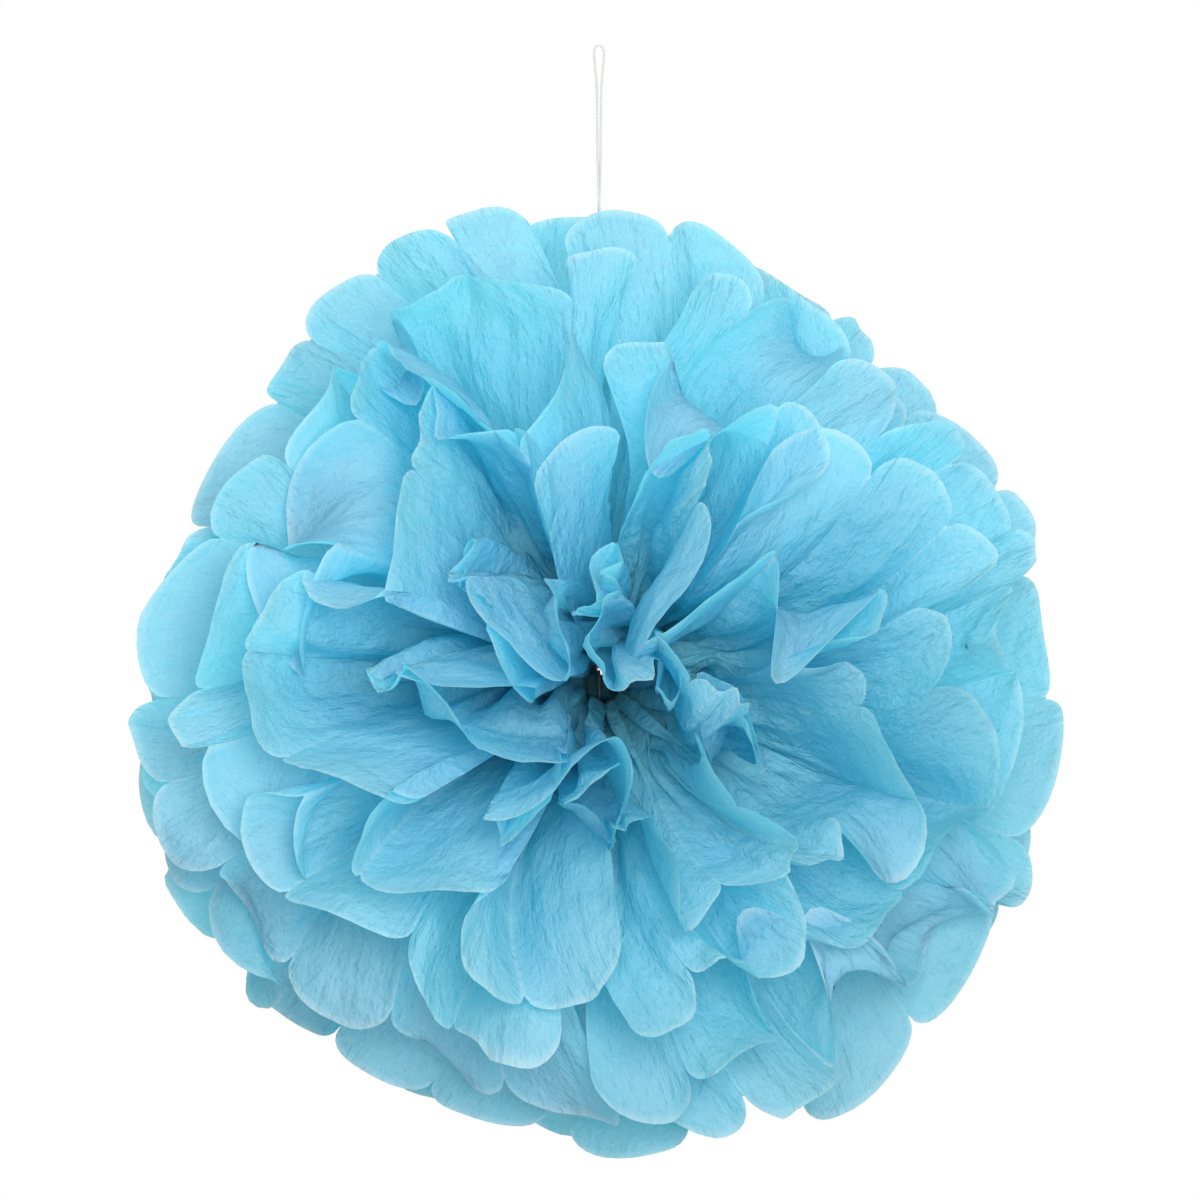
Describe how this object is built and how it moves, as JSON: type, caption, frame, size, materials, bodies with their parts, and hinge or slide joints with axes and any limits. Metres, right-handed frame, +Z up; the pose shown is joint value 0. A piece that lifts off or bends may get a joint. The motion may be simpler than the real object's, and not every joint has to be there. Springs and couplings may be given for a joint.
{
  "type": "tissue paper pom pom",
  "caption": "Round hanging decoration of pleated tissue paper, tied at the waist and opened into a ball, on a doubled cord with a loop.",
  "frame": {"origin": "middle of the hanging loop, just under its top, with the waist of the ball 276.5 mm below", "axes": "+Z up along the cord, +X to the right seen from the front, the ball's front faces -Y"},
  "size_m": [0.3961, 0.4091, 0.4809],
  "materials": {
    "tissue": "matte translucent light blue tissue paper",
    "tie_wire": "plain thin wire",
    "cotton_cord": "off-white twisted cotton"
  },
  "bodies": {
    "root": {"tissue_sheet_front_1": "tissue", "tissue_sheet_front_2": "tissue", "tissue_sheet_front_3": "tissue", "tissue_sheet_front_4": "tissue", "tissue_sheet_front_5": "tissue", "tissue_sheet_back_1": "tissue", "tissue_sheet_back_2": "tissue", "tissue_sheet_back_3": "tissue", "tissue_sheet_back_4": "tissue", "tissue_sheet_back_5": "tissue", "waist_tie": "tie_wire", "cord_knot": "cotton_cord", "hanging_cord": "cotton_cord"}
  },
  "joints": []
}
